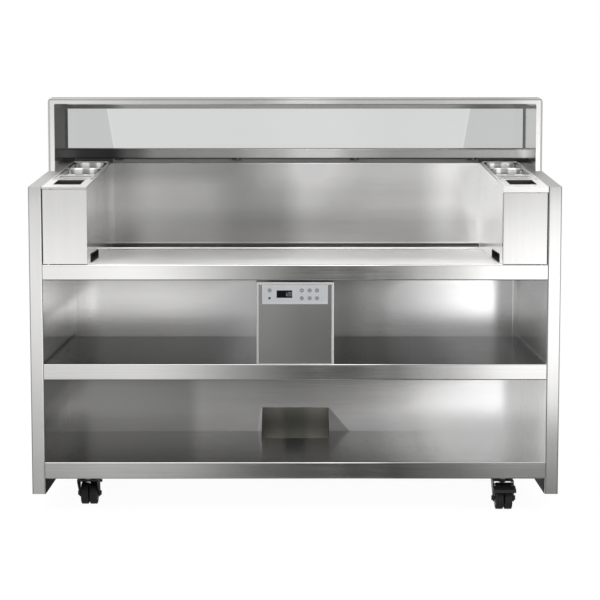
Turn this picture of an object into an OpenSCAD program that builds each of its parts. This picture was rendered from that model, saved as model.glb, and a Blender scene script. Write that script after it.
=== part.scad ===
// Mobile serving counter: two sloping end towers, a table-top module bay between them,
// an extraction bridge with a glass screen, two shelves, a control unit and four casters.
// Millimetres. Origin on the floor at the centre of the footprint. Operator's side faces -Y.

/* [Overall] */
// Overall width across the end cheeks
unit_w = 1500; // [1460:10:1600]
// Overall depth, front to back
unit_d = 720; // [720:10:760]
// Height of the bridge's top above the floor
unit_h = 1185; // [1175:5:1250]
// Thickness of each end cheek
cheek_w = 38; // [34:1:42]
// Gap between the floor and the cheeks
cheek_gap = 54; // [40:1:70]
// Sheet metal thickness
sheet = 2; // [1.5:0.5:2]

/* [Levels] */
// Height of the module deck's top face
deck_z = 710; // [700:1:720]
// Height of the deck's front fascia
deck_lip = 44; // [40:1:50]
// Height of the middle shelf's top face
mid_z = 428; // [420:1:436]
// Height of the middle shelf's front lip
mid_lip = 46; // [40:1:50]
// Height of the bottom shelf's top face
low_z = 146; // [146:1:150]
// Height of the bottom shelf's front lip
low_lip = 48; // [48:1:52]
// Depth of the deck and middle shelf, to their back panels
bay_depth = 660; // [650:1:664]
// Depth of the bottom shelf's open part
low_depth = 518; // [500:1:530]

/* [Towers] */
// Clear width of the bay between the towers
bay_w = 1170; // [1160:1:1180]
// Height of the towers' top at the front edge
tower_z = 929; // [915:1:940]
// Slope of the towers' tops, rising towards the back
slope = 4.5; // [3:0.5:5]
// Thickness of the tower doors
door_t = 16; // [14:1:18]
// Strip of frame above the left door
left_strip = 5; // [4:1:8]
// Strip of frame above the right door
right_strip = 15; // [12:1:20]
// Width of the chute opening
chute_w = 78; // [74:1:80]
// Length of the chute opening
chute_l = 115; // [112:1:120]
// Length and width of a ninth-size food pan's rim
pan_l = 176; // [176:1:176]
pan_w = 108; // [108:1:108]
// Depth of a food pan
pan_h = 65; // [40:5:100]
// Length of the cable cut-out in each tower's inner wall
cutout_l = 190; // [150:10:220]
// Height of the cable cut-out
cutout_h = 25; // [20:1:30]

/* [Bridge] */
// Distance from the front plane to the bridge
bridge_in = 420; // [400:5:430]
// Thickness of the bridge's top and legs
bridge_t = 20; // [18:1:22]
// Outer corner radius of the bridge
bridge_r = 18; // [12:1:24]
// Height of the glass screen's lower rail
rail_h = 30; // [26:1:34]
// Height of the rail's underside above the floor
rail_z = 995; // [992:1:1000]
// Glass thickness
glass_t = 6; // [5:1:8]

/* [Control unit] */
// Width of the control unit
ctrl_w = 220; // [216:1:230]
// Depth of the control unit
ctrl_d = 300; // [200:10:400]
// Travel of a control key
key_travel = 0.6; // [0.4:0.1:0.6]

/* [Casters] */
// Wheel diameter
wheel_d = 65; // [60:1:66]
// Distance of each swivel axis from the centre line
caster_x = 600; // [590:5:610]
// Distance of each swivel axis from the front and back planes
caster_in = 88; // [86:1:110]
// Trail of the wheel axle behind the swivel axis
trail = 36; // [32:1:38]

/* [Hidden] */
$fn = 48;

fit = 0.08;                          // radial running clearance
eps = 0.5;                           // overshoot of a cutting shape
fold_r = 3;                          // outside radius of a fold
front = -unit_d / 2;                 // Y of the front plane
half_w = unit_w / 2;
inner_x = half_w - cheek_w;          // inner face of a cheek
bay_x = bay_w / 2;                   // inner wall face of a tower
tower_w = inner_x - bay_x;
tower_mid = (inner_x + bay_x) / 2;
rear_in = unit_d - 8;                // front face of the rear panel, from the front plane
field_x = bay_x - 3;                 // module field, a doubler plate on the deck
field_d = bay_depth - 74;
field_h = 1;
step_d = 70;                         // stop step along the foot of the bay's back wall
step_h = 8;
seam_h = 17;                         // top of the seam strip above the deck
steel = [0.78, 0.78, 0.77];
bright_steel = [0.86, 0.86, 0.85];
dark_plastic = [0.1, 0.1, 0.1];
zinc = [0.7, 0.71, 0.72];

// tower tops
ring_start = 190;                    // front end of the raised pan surround, along the slope
ring_l = 502;
ring_w = tower_w - 11;
ring_h = 3;
dish_start = 240;                    // shallow utensil dish in front of the pans
dish_l = 50;
dish_h = 8;
pan_start = 312;
pan_pitch = pan_l + 12;
pan_body_w = pan_w - 14;
pan_body_l = pan_l - 14;
pan_sheet = 1;
chute_start = 62;
bin_gap = 3;
bin_h = 195;
bin_sheet = 1.5;

// doors
door_gap = 2;
hinge_gap = 2;                       // between door and cheek, so that the door can swing
pin_r = 4;
pin_in = 14;                         // hinge pin from the door's outer edge
pin_up = 4.5;                        // upper pin's length above the door
stop_in = door_t + 1;                // stops behind the closed door
jamb_in = 32;                        // jamb beside the cheek, behind the door's sweep
door_x = inner_x - hinge_gap;        // door's outer edge
pin_x = door_x - pin_in;
pin_y = front + door_t / 2;
door_w = door_x - bay_x;

// bridge
leg_x = half_w - bridge_t;           // inner face of a bridge leg
bridge_wall = 3;
edge_r = 8;                          // rounding of the arch's outer front edge
rail_in = 690;                       // front face of the lower rail
rail_d = 24;
gasket_in = 697;
gasket_d = 12;
glass_in = 700;

// extraction
slot_top = deck_z + 271.5;           // top of the bay's back panel
duct_in = bay_depth + sheet;         // front face of the duct
duct_d = 42;
duct_top = slot_top - fold_r - 1;
plenum_x = bay_x - 2;
plenum_z = 740;
down_x = 160;
ledge_z = 933;
filter_w = 374;
filter_pitch = 375;
filter_in = 667;
filter_d = 21;
filter_h = 40;
fan_x = 180;
fan_in = 524;
fan_top = 388;
fan_mid = 614;                       // fan axis, from the front plane
fan_plate_z = 300;
shaft_r = 5;
outlet_x = 85;
outlet_z = 154;
outlet_h = 54;
cover_in = 391;
cover_x = 104;
cover_h = 75;

// control unit
ctrl_h = deck_z - deck_lip - 5 - mid_z;
ctrl_rim = 7;
plate_x = 92.5;
plate_z = 599;
plate_h = 54;
key_r = 5.4;
key_l = 3.8;
key_rows = [637.5, 615.5];
key_columns = [19, 41, 62];
left_column = -72;
display_x = -30;
display_z = 627;
display_w = 44;
display_h = 21;
lamp_r = 3.6;

// casters
axle_z = wheel_d / 2;
axle_r = 4;
kingpin_r = 6;
plate_top = low_z - low_lip;         // caster plates bolt to the underside of the rails
fork_z = 78;
fork_leg_x = 27;
fork_leg_t = 3;
wheel_w = 22;
wheel_x = 1.5;
pedal_y = 30;
pedal_z = 71;
pedal_l = 51;
pedal_tilt = 12;
pedal_neck_x = 22;
pedal_plate_x = 32;
bolt_dx = 28;
bolt_dy = 40;
rail_w = 80;
rail_t = 3;

// bonding stud
stud_x = -450;
stud_y = 300;
stud_l = 20;

// ---------- helpers ----------

// square with four round corners, true arcs
module rounded_square(w, l, r) {
    translate([r, 0]) square([w - 2 * r, l]);
    translate([0, r]) square([w, l - 2 * r]);
    for (x = [r, w - r], y = [r, l - r]) translate([x, y]) circle(r);
}

// extrudes a (Y, Z) outline along X
module along_x(x0, x1) {
    translate([x0, 0, 0]) rotate([90, 0, 90]) linear_extrude(x1 - x0) children();
}

// box between two corners, with depth measured from the front plane
module block(x0, x1, d0, d1, z0, z1) {
    translate([x0, front + d0, z0]) cube([x1 - x0, d1 - d0, z1 - z0]);
}

// frame that lies on the towers' sloping tops: X, distance up the slope, height off it
module on_slope() {
    translate([0, front, tower_z]) rotate([slope, 0, 0]) children();
}

// everything above the sloping plane, raised or lowered by h
module above_slope(h = 0) {
    on_slope() translate([-unit_w, -unit_d, h]) cube([2 * unit_w, 3 * unit_d, unit_h]);
}

// everything below the sloping plane
module below_slope(h = 0) {
    on_slope() translate([-unit_w, -unit_d, h - 2 * unit_h]) cube([2 * unit_w, 3 * unit_d, 2 * unit_h]);
}

// folded tray outline: top plate, front lip and bottom return
module tray_outline(depth, lip, return_l = 25) {
    difference() {
        translate([0, -lip]) rounded_square(depth + 20, lip, fold_r);
        translate([sheet, sheet - lip]) rounded_square(depth + 20, lip - 2 * sheet, fold_r - sheet);
        translate([return_l, -lip - eps]) square([depth, lip + eps - sheet]);
        translate([depth, -lip - eps]) square([40, lip + 2 * eps]);
    }
}

// folded shelf or deck, full width between the cheeks
module tray(depth, top, lip) {
    along_x(-inner_x, inner_x) translate([front, top]) tray_outline(depth, lip);
}

module mirrored(side) {
    if (side == "right") mirror([1, 0, 0]) children();
    else children();
}

// ---------- cheeks, shelves and panels ----------

module cheek() {
    color(steel) difference() {
        translate([-half_w, front, cheek_gap]) linear_extrude(unit_h)
            rounded_square(cheek_w, unit_d, 4);
        above_slope();
        difference() {
            translate([sheet - half_w, front + sheet, cheek_gap + sheet]) linear_extrude(unit_h)
                rounded_square(cheek_w - 2 * sheet, unit_d - 2 * sheet, 2);
            above_slope(-sheet);
        }
        // drain holes in the bottom closure
        for (y = [-200, 200]) translate([cheek_w / 2 - half_w, y, cheek_gap - eps])
            cylinder(r = 6, h = sheet + 2 * eps);
    }
}

module deck() {
    color(steel) {
        difference() {
            tray(bay_depth, deck_z, deck_lip);
            for (x = [-pin_x, pin_x]) translate([x, pin_y, deck_z - 10])
                cylinder(r = pin_r + fit, h = 20);
        }
        block(-field_x, field_x, fold_r + 1, field_d, deck_z - 1, deck_z + field_h);
    }
}

module mid_shelf() {
    color(steel) tray(bay_depth, mid_z, mid_lip);
}

module bottom_shelf() {
    color(steel) difference() {
        tray(rear_in, low_z, low_lip);
        // exhaust slots below the duct cover
        for (i = [-3 : 3]) block(i * 24 - 6, i * 24 + 6, 400, 500, low_z - 10, low_z + 10);
        translate([stud_x, stud_y, low_z - 10]) cylinder(r = 4.2, h = 20);
    }
}

// upper back wall of the bay, with a stop step and a seam strip along its foot
module bay_back_panel() {
    color(steel) along_x(-bay_x, bay_x) translate([front, 0]) {
        difference() {
            translate([bay_depth, deck_z]) rounded_square(20, slot_top - deck_z, fold_r);
            translate([bay_depth + sheet, deck_z - 2 * fold_r])
                rounded_square(20, slot_top - deck_z - sheet + 2 * fold_r, fold_r - sheet);
            translate([bay_depth + 6, deck_z - eps]) square([20, slot_top - deck_z + 2 * eps]);
        }
        translate([bay_depth, deck_z]) square([sheet, 10]);
        translate([bay_depth - step_d, deck_z]) square([sheet, step_h]);
        translate([bay_depth - step_d, deck_z + step_h - sheet]) square([step_d + 1, sheet]);
        translate([bay_depth - sheet, deck_z + step_h - 1]) square([sheet + 1, seam_h - step_h + 1]);
    }
}

module mid_back_panel() {
    color(steel) {
        block(-inner_x, inner_x, bay_depth, bay_depth + sheet, mid_z, deck_z);
        // folded jambs in the back corners
        for (x = [-inner_x, inner_x - 17])
            block(x, x + 17, bay_depth - 5, bay_depth, mid_z, deck_z - sheet);
    }
}

module lower_back_panel() {
    color(steel) difference() {
        block(-inner_x, inner_x, low_depth, low_depth + sheet, low_z, mid_z - sheet);
        block(-outlet_x, outlet_x, low_depth - eps, low_depth + sheet + eps,
            outlet_z, outlet_z + outlet_h);
    }
}

// guest-side front, set in between the cheeks
module rear_panel() {
    color(bright_steel) block(-inner_x, inner_x, rear_in, rear_in + sheet, plate_top, rail_z);
}

module chassis_rails() {
    color(zinc) for (side = [-1, 1]) difference() {
        block(side * caster_x - rail_w / 2, side * caster_x + rail_w / 2, 26, rear_in - 6,
            plate_top, low_z - sheet);
        block(side * caster_x - rail_w / 2 + rail_t, side * caster_x + rail_w / 2 - rail_t,
            26 - eps, rear_in, plate_top + rail_t, low_z);
        for (end = [-1, 1]) translate([side * caster_x, -end * (front + caster_in), 0])
            bolt_holes(plate_top - eps, rail_t + 2 * eps);
    }
}

// ---------- towers ----------

// top strip of the tower front, above the door
function strip(side) = side == "right" ? right_strip : left_strip;
function door_top(side) = tower_z - strip(side) - door_gap;

module tower(side) {
    top = door_top(side);
    color(steel) difference() {
        union() {
            // inner wall and sloping top, one folded sheet
            intersection() {
                on_slope() translate([0, -40, 0]) rotate([-90, 0, 0]) linear_extrude(unit_d + 80)
                    tower_outline();
                block(-inner_x, -bay_x, 0, rear_in, deck_z, unit_h);
            }
            difference() {
                union() {
                    // strip above the door, and the hinge block
                    block(-inner_x, -bay_x - 1, 0, sheet, tower_z - strip(side), tower_z);
                    block(-door_x, -pin_x + 8, sheet, door_t, top + 1.5, tower_z + 2);
                    // stops behind the door, beside the wall and under the top
                    block(-bay_x - 16, -bay_x - 1, stop_in, stop_in + sheet, deck_z, tower_z + 3);
                    block(-pin_x + 12, -bay_x - 1, stop_in, stop_in + sheet, top - 10, tower_z + 3);
                    // jamb beside the cheek
                    block(-inner_x, -inner_x + 26, jamb_in, jamb_in + sheet, deck_z, tower_z + 4);
                }
                above_slope(-1);
            }
            // raised surround of the pans and the utensil dish
            on_slope() {
                translate([-tower_mid, ring_start, -1]) pan_surround();
                dish_block(sheet, 0);
            }
        }
        on_slope() {
            opening(chute_w, chute_start, chute_l, 4);
            dish_block(0, 20);
            for (i = [0, 1]) opening(pan_w - 10, pan_start + i * pan_pitch + 5, pan_l - 10, 16);
        }
        // the closed door covers the wall's front edge
        block(-bay_x - 5, -bay_x + 1, -eps, stop_in, deck_z - eps, top + door_gap);
        // cable cut-out at deck level
        block(-bay_x - 10, -bay_x + 10, 85, 85 + cutout_l, deck_z - eps, deck_z + cutout_h);
        translate([-pin_x, pin_y, deck_z]) cylinder(r = pin_r + fit, h = top + pin_up + 1 - deck_z);
    }
}

// folded section across the tower, seen along the slope: X across, -Y up
module tower_outline() {
    difference() {
        translate([-inner_x - 20, 0]) rounded_square(tower_w + 20, 400, fold_r);
        translate([-inner_x - 20, sheet]) rounded_square(tower_w + 20 - sheet, 400, fold_r - sheet);
    }
}

module pan_surround() {
    difference() {
        linear_extrude(ring_h + 1) translate([-ring_w / 2, 0]) rounded_square(ring_w, ring_l, 8);
        translate([0, 0, -eps]) linear_extrude(ring_h + 2)
            translate([3 - ring_w / 2, 3]) rounded_square(ring_w - 6, ring_l - 6, 5);
    }
}

module dish_block(wall, up) {
    translate([-tower_mid - 46 - wall, dish_start - wall, -dish_h - wall])
        cube([92 + 2 * wall, dish_l + 2 * wall, dish_h + wall + up]);
}

module opening(w, start, l, r) {
    translate([-tower_mid - w / 2, start, -20]) linear_extrude(40) rounded_square(w, l, r);
}

// folded door with its hinge pins, hinged beside the cheek
module door(side) {
    top = door_top(side);
    bottom = deck_z + door_gap;
    color(bright_steel) {
        difference() {
            translate([-door_x, front, bottom]) linear_extrude(top - bottom)
                rounded_square(door_w, door_t, 1.5);
            difference() {
                block(-door_x + sheet, -door_x + door_w - sheet, sheet, door_t + 1,
                    bottom + sheet, top - sheet);
                // hinge lugs left standing at the two corners
                for (z = [bottom, top - 14]) block(-door_x, -pin_x + 7, 0, door_t, z, z + 14);
            }
        }
        translate([-pin_x, pin_y, deck_z - sheet]) cylinder(r = pin_r, h = door_gap + sheet + 4);
        translate([-pin_x, pin_y, top - 4]) cylinder(r = pin_r, h = 4 + pin_up);
    }
}

module pan(index) {
    color(bright_steel) on_slope() translate([-tower_mid, pan_start + index * pan_pitch, 0])
        difference() {
            union() {
                translate([-pan_w / 2, 0, 0]) linear_extrude(1.2) rounded_square(pan_w, pan_l, 18);
                translate([-pan_body_w / 2, 7, -pan_h]) linear_extrude(pan_h + 0.5)
                    rounded_square(pan_body_w, pan_body_l, 14);
            }
            translate([pan_sheet - pan_body_w / 2, 7 + pan_sheet, pan_sheet - pan_h])
                linear_extrude(pan_h + 5)
                    rounded_square(pan_body_w - 2 * pan_sheet, pan_body_l - 2 * pan_sheet, 13);
        }
}

// container under the chute, standing on the deck
module bin() {
    w = chute_w - 2 * bin_gap;
    l = chute_l * cos(slope) - 2 * bin_gap - 1.5;
    color(bright_steel) translate([-tower_mid - w / 2, front + chute_start + bin_gap + 0.5, deck_z])
        difference() {
            linear_extrude(bin_h) rounded_square(w, l, 6);
            translate([bin_sheet, bin_sheet, bin_sheet]) linear_extrude(bin_h)
                rounded_square(w - 2 * bin_sheet, l - 2 * bin_sheet, 4.5);
        }
}

// ---------- bridge ----------

module bridge_section(inset) {
    difference() {
        translate([-half_w + inset, inset]) rounded_square(unit_w - 2 * inset, unit_h - 2 * inset,
            bridge_r - inset);
        translate([-leg_x - inset, -1])
            rounded_square(2 * (leg_x + inset), unit_h - bridge_t + inset + 1, 4 + inset);
    }
}

// folded hollow arch on the cheeks
module bridge_frame() {
    arch_d = unit_d - bridge_in;
    color(steel) difference() {
        intersection() {
            translate([0, front + unit_d, 0]) rotate([90, 0, 0]) linear_extrude(arch_d)
                bridge_section(0);
            // rounded outer front edge, along the top and down both legs
            along_x(-half_w, half_w) translate([front + bridge_in, unit_h - unit_d])
                rounded_square(unit_d, unit_d, edge_r);
            translate([-half_w, front + bridge_in, 0]) linear_extrude(unit_h)
                rounded_square(unit_w, unit_d, edge_r);
        }
        translate([0, front + unit_d - bridge_wall, 0]) rotate([90, 0, 0])
            linear_extrude(arch_d - 2 * bridge_wall) bridge_section(bridge_wall);
        below_slope();
    }
}

module glass_pane() {
    color([0.8, 0.85, 0.84, 0.4])
        block(2 - leg_x, leg_x - 2, glass_in, glass_in + glass_t,
            rail_z + rail_h + 1.5, unit_h - bridge_t - 9);
}

// seal round the glass, with a deeper band along the top
module glass_gasket() {
    color(dark_plastic) difference() {
        translate([-leg_x, front + gasket_in + gasket_d, rail_z + rail_h]) rotate([90, 0, 0])
            linear_extrude(gasket_d)
                rounded_square(2 * leg_x, unit_h - bridge_t - rail_z - rail_h, 4);
        block(2 - leg_x, leg_x - 2, glass_in, glass_in + glass_t,
            rail_z + rail_h + 1.5, unit_h - bridge_t - 9);
        block(4 - leg_x, leg_x - 4, gasket_in - eps, gasket_in + gasket_d + eps,
            rail_z + rail_h + 3, unit_h - bridge_t - 12);
    }
}

module glass_rail() {
    color(bright_steel) along_x(-leg_x, leg_x) translate([front + rail_in, rail_z])
        difference() {
            rounded_square(rail_d, rail_h, fold_r);
            translate([sheet, sheet]) rounded_square(rail_d - 2 * sheet, rail_h - 2 * sheet, 1);
        }
}

// ---------- extraction ----------

// grease filter cassette: open frame with baffles
module filter(position) {
    slats = 17;
    x0 = position * filter_pitch - filter_w / 2;
    color(zinc) {
        difference() {
            block(x0, x0 + filter_w, filter_in, filter_in + filter_d,
                ledge_z + sheet, ledge_z + sheet + filter_h);
            block(x0 + 1.5, x0 + filter_w - 1.5, filter_in + 1.5, filter_in + filter_d - 1.5,
                ledge_z, ledge_z + filter_h + 10);
        }
        for (i = [1 : slats]) block(x0 + i * filter_w / (slats + 1) - 0.5,
            x0 + i * filter_w / (slats + 1) + 0.5, filter_in + 1, filter_in + filter_d - 1,
            ledge_z + sheet + 4, ledge_z + sheet + filter_h - 4);
    }
}

// clips on the rail's underside, over the joints of the filters
module filter_clips() {
    color(dark_plastic) for (i = [-1.5 : 1 : 1.5])
        block(i * filter_pitch - 14, i * filter_pitch + 14, rail_in + 2, rail_in + 12,
            rail_z - 5, rail_z);
}

// wide plenum behind the bay's back panel, and the duct down to the fan
module suction_duct() {
    d1 = duct_in + duct_d;
    color(zinc) {
        difference() {
            union() {
                block(-plenum_x, plenum_x, duct_in, d1, plenum_z, duct_top);
                block(-plenum_x, plenum_x, d1 - sheet, d1, duct_top - 1, rail_z);
                block(-down_x, down_x, duct_in, d1, fan_top, plenum_z + 1);
            }
            block(-plenum_x + sheet, plenum_x - sheet, duct_in + sheet, d1 - sheet,
                plenum_z + sheet, rail_z + 10);
            block(-down_x + sheet, down_x - sheet, duct_in + sheet, d1 - sheet,
                fan_top - 10, plenum_z + 10);
        }
        // ledges that carry the filters
        block(-plenum_x + 1, plenum_x - 1, duct_in + 1, filter_in + 3, ledge_z, ledge_z + sheet);
        block(-plenum_x + 1, plenum_x - 1, filter_in + filter_d - 3, d1 - 1,
            ledge_z, ledge_z + sheet);
    }
}

// sloping deflector over the exhaust
module duct_cover() {
    color(steel) difference() {
        along_x(-cover_x, cover_x) cover_wedge(0, 0);
        along_x(sheet - cover_x, cover_x - sheet) cover_wedge(sheet, eps);
    }
}

// wedge against the lower back panel, lowered by t square to its slope
module cover_wedge(t, over) {
    run = low_depth - cover_in;
    long = norm([run, cover_h]);
    translate([front, low_z]) polygon([[cover_in + t * long / cover_h, -over],
        [low_depth + over, -over], [low_depth + over, cover_h - t * long / run]]);
}

module fan_housing() {
    color(zinc) difference() {
        union() {
            difference() {
                block(-fan_x, fan_x, fan_in, duct_in + duct_d, low_z, fan_top);
                block(-fan_x + sheet, fan_x - sheet, fan_in + sheet, duct_in + duct_d - sheet,
                    low_z + sheet, fan_top - sheet);
            }
            // inlet plate, and the collar to the lower back panel
            block(-fan_x + 1, fan_x - 1, fan_in + 1, duct_in + duct_d - 1,
                fan_plate_z, fan_plate_z + sheet);
            block(-outlet_x - 3, outlet_x + 3, low_depth + sheet, fan_in + 1,
                outlet_z - 3, outlet_z + outlet_h + 3);
        }
        block(-outlet_x, outlet_x, low_depth, fan_in + 10, outlet_z, outlet_z + outlet_h);
        translate([0, front + fan_mid, fan_plate_z - 5]) cylinder(r = 62, h = 12);
        block(-down_x + sheet, down_x - sheet, duct_in + sheet, duct_in + duct_d - sheet,
            fan_top - 5, fan_top + 5);
    }
}

module fan_motor() {
    color(dark_plastic) translate([0, front + fan_mid, low_z + sheet]) {
        cylinder(r = 45, h = 62);
        cylinder(r = 14, h = 70);
        cylinder(r = shaft_r, h = 112);
    }
}

module fan_impeller() {
    base = 226;
    blades = 14;
    color(zinc) translate([0, front + fan_mid, base]) difference() {
        union() {
            cylinder(r = 75, h = 2);
            cylinder(r = 15, h = 28);
            for (i = [0 : blades - 1]) rotate([0, 0, i * 360 / blades])
                translate([48, 0, 1]) rotate([0, 0, 38]) translate([0, -0.75, 0]) cube([26, 1.5, 60]);
            translate([0, 0, 60]) difference() {
                cylinder(r = 75, h = 2);
                translate([0, 0, -eps]) cylinder(r = 60, h = 3);
            }
        }
        translate([0, 0, -eps]) cylinder(r = shaft_r + fit, h = 40);
    }
}

// odour filter on the fan's inlet plate
module carbon_filter() {
    cells = 9;
    pitch = 36;
    color(dark_plastic) difference() {
        block(-170, 170, 532, 698, fan_plate_z + sheet, fan_plate_z + sheet + 50);
        for (i = [0 : cells - 1]) block((i - 4) * pitch - 14, (i - 4) * pitch + 14, 546, 684,
            fan_plate_z, fan_plate_z + 60);
    }
}

// ---------- control unit ----------

module control_case() {
    x = ctrl_w / 2;
    color(steel) difference() {
        translate([-x, front, mid_z]) linear_extrude(ctrl_h) rounded_square(ctrl_w, ctrl_d, 2);
        block(sheet - x, x - sheet, sheet, ctrl_d - sheet, mid_z + sheet, mid_z + ctrl_h - sheet);
        block(ctrl_rim - x, x - ctrl_rim, -1, sheet + 1, mid_z + sheet, mid_z + ctrl_h - ctrl_rim);
    }
}

module control_front() {
    x = ctrl_w / 2 - sheet - 0.2;
    color(steel) difference() {
        block(-x, x, sheet, 2 * sheet, mid_z + sheet + 0.2, mid_z + ctrl_h - sheet - 0.2);
        key_places(sheet - eps, sheet + 2 * eps, key_r + 0.3);
        at_front(left_column, key_rows[1], sheet - eps) cylinder(r = lamp_r + 0.3, h = sheet + 2 * eps);
    }
}

// cuts or fills every key position with a cylinder that runs back from depth d
module key_places(d, l, r) {
    at_front(left_column, key_rows[0], d) cylinder(r = r, h = l);
    for (x = key_columns, z = key_rows) at_front(x, z, d) cylinder(r = r, h = l);
}

// frame at a point of the control front, +Z pointing to the back
module at_front(x, z, d) {
    translate([x, front + d, z]) rotate([-90, 0, 0]) children();
}

module control_plate() {
    color([0.72, 0.72, 0.72]) difference() {
        block(-plate_x, plate_x, 0.4, sheet, plate_z, plate_z + plate_h);
        block(display_x - display_w / 2 - 0.2, display_x + display_w / 2 + 0.2, -1, sheet + 1,
            display_z - display_h / 2 - 0.2, display_z + display_h / 2 + 0.2);
        key_places(-1, sheet + 2, key_r + 0.3);
        at_front(left_column, key_rows[1], -1) cylinder(r = lamp_r + 0.2, h = sheet + 2);
    }
}

module display_window() {
    color([0.03, 0.03, 0.04])
        block(display_x - display_w / 2, display_x + display_w / 2, 0.6, sheet,
            display_z - display_h / 2, display_z + display_h / 2);
}

module indicator_lamp() {
    color([0.15, 0.15, 0.16]) at_front(left_column, key_rows[1], 0.2) cylinder(r = lamp_r, h = 6);
}

module control_board() {
    color([0.1, 0.3, 0.15]) {
        block(-85, 85, 12, 13.6, plate_z + 2, plate_z + plate_h - 2);
        // switch bodies behind the keys
        for (x = concat([left_column], key_columns), z = key_rows)
            if (x != left_column || z == key_rows[0]) block(x - 3, x + 3, key_l + key_travel + 0.2, 12, z - 3, z + 3);
        block(-30, 30, 13.6, 26, plate_z + 10, plate_z + 40);
    }
}

module key(x, z) {
    color([0.45, 0.46, 0.48]) at_front(x, z, 0) cylinder(r = key_r, h = key_l);
}

// ---------- earth stud ----------

// bonding stud through the bottom shelf, pointing down: head, shank and clamped nut
module earth_stud() {
    color("goldenrod") translate([stud_x, stud_y, low_z]) {
        cylinder(r = 7.5, h = 6, $fn = 6);
        translate([0, 0, -sheet - 6 - stud_l]) cylinder(r = 4, h = stud_l + sheet + 8);
        translate([0, 0, -sheet - 6]) cylinder(r = 7.5, h = 6, $fn = 6);
    }
}

// ---------- casters ----------

// places children at one caster, turned about its swivel axis
module at_caster(side, end, turn) {
    translate([side * caster_x, end * (front + caster_in), 0]) rotate([0, 0, turn]) children();
}

module bolt_holes(z, h) {
    for (x = [-bolt_dx, bolt_dx], y = [-bolt_dy, bolt_dy]) translate([x, y, z])
        cylinder(r = 4.2, h = h);
}

module caster_plates() {
    color(zinc) for (side = [-1, 1], end = [-1, 1]) at_caster(side, end, 0) {
        difference() {
            translate([-38, -50, plate_top - rail_t]) linear_extrude(rail_t)
                rounded_square(76, 100, 6);
            bolt_holes(plate_top - rail_t - eps, rail_t + 2 * eps);
        }
        translate([0, 0, fork_z + 6]) cylinder(r = 22, h = plate_top - rail_t - fork_z - 6);
        translate([0, 0, fork_z - 3]) cylinder(r = kingpin_r, h = 12);
        translate([0, 0, fork_z - 6]) cylinder(r = 10, h = 3.5);
    }
}

module caster_bolts() {
    color(zinc) for (side = [-1, 1], end = [-1, 1]) at_caster(side, end, 0)
        for (x = [-bolt_dx, bolt_dx], y = [-bolt_dy, bolt_dy]) translate([x, y, 0]) {
            translate([0, 0, plate_top - rail_t - 5]) cylinder(r = 7.2, h = 5, $fn = 6);
            translate([0, 0, plate_top - rail_t - 1]) cylinder(r = 4, h = 2 * rail_t + 2);
            translate([0, 0, plate_top + rail_t]) cylinder(r = 7.2, h = 6, $fn = 6);
        }
}

// fork leg outline in (Y, Z)
module fork_leg() {
    polygon([[-24, fork_z + 4], [pedal_y + 8, fork_z + 4], [trail + 11, axle_z],
        [trail - 11, axle_z], [-20, fork_z - 6]]);
    translate([trail, axle_z]) circle(11);
}

// pressed fork with its riveted axle and, on a braked caster, the pedal's pin
module fork(side, end, turn, braked) {
    color(dark_plastic) at_caster(side, end, turn) {
        difference() {
            union() {
                translate([-fork_leg_x - 1, -24, fork_z]) cube([2 * fork_leg_x + 2, 50, 4]);
                translate([0, 0, fork_z]) cylinder(r = 28, h = 4);
                translate([0, 0, fork_z + 3]) cylinder(r = 18, h = 2.8);
            }
            translate([0, 0, fork_z - eps]) cylinder(r = kingpin_r + fit, h = 10);
        }
        for (x = [-fork_leg_x - fork_leg_t, fork_leg_x]) along_x(x, x + fork_leg_t) fork_leg();
        translate([0, trail, axle_z]) rotate([0, 90, 0]) {
            cylinder(r = axle_r, h = 68, center = true);
            for (z = [-34, 29.5]) translate([0, 0, z]) cylinder(r = 7, h = 4.5);
        }
        if (braked) translate([0, pedal_y, pedal_z]) rotate([0, 90, 0])
            cylinder(r = 3, h = 2 * fork_leg_x + 2, center = true);
    }
}

// half section of one wheel: tread with round shoulders, rim recess and hub
module wheel_section() {
    r = wheel_d / 2;
    difference() {
        union() {
            translate([axle_r + fit, 0]) square([r - 5 - axle_r - fit, wheel_w]);
            translate([r - 8, 3]) square([8, wheel_w - 6]);
            translate([r - 14, 0]) rounded_square(14, wheel_w, 4);
        }
        translate([11, wheel_w - 4]) square([r - 20, 5]);
    }
}

module wheels(side, end, turn) {
    color([0.06, 0.06, 0.06]) at_caster(side, end, turn) translate([0, trail, axle_z])
        for (way = [-1, 1]) rotate([0, 90 * way, 0]) translate([0, 0, wheel_x])
            rotate_extrude() wheel_section();
}

// brake pedal over the wheels: tube on the fork's pin, neck, wide tread plate and end lip
module pedal(side, end, turn) {
    drop = tan(pedal_tilt);
    color(dark_plastic) at_caster(side, end, turn) translate([0, pedal_y, pedal_z])
        difference() {
            union() {
                rotate([0, 90, 0]) cylinder(r = 5, h = 2 * pedal_neck_x, center = true);
                along_x(-pedal_neck_x, pedal_neck_x) sloping_strip(1, 22, 1.2, 2.5, drop);
                along_x(-pedal_plate_x, pedal_plate_x) {
                    sloping_strip(18, pedal_l, 1.2, 2.5, drop);
                    sloping_strip(pedal_l - 3, pedal_l, -5, 7, drop);
                }
            }
            rotate([0, 90, 0]) cylinder(r = 3 + fit, h = 100, center = true);
        }
}

// strip that falls away from Y = y0 to y1, with its lower face h above the slope's start
module sloping_strip(y0, y1, h, t, drop) {
    polygon([[y0, h - y0 * drop], [y1, h - y1 * drop], [y1, h + t - y1 * drop],
        [y0, h + t - y0 * drop]]);
}

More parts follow.
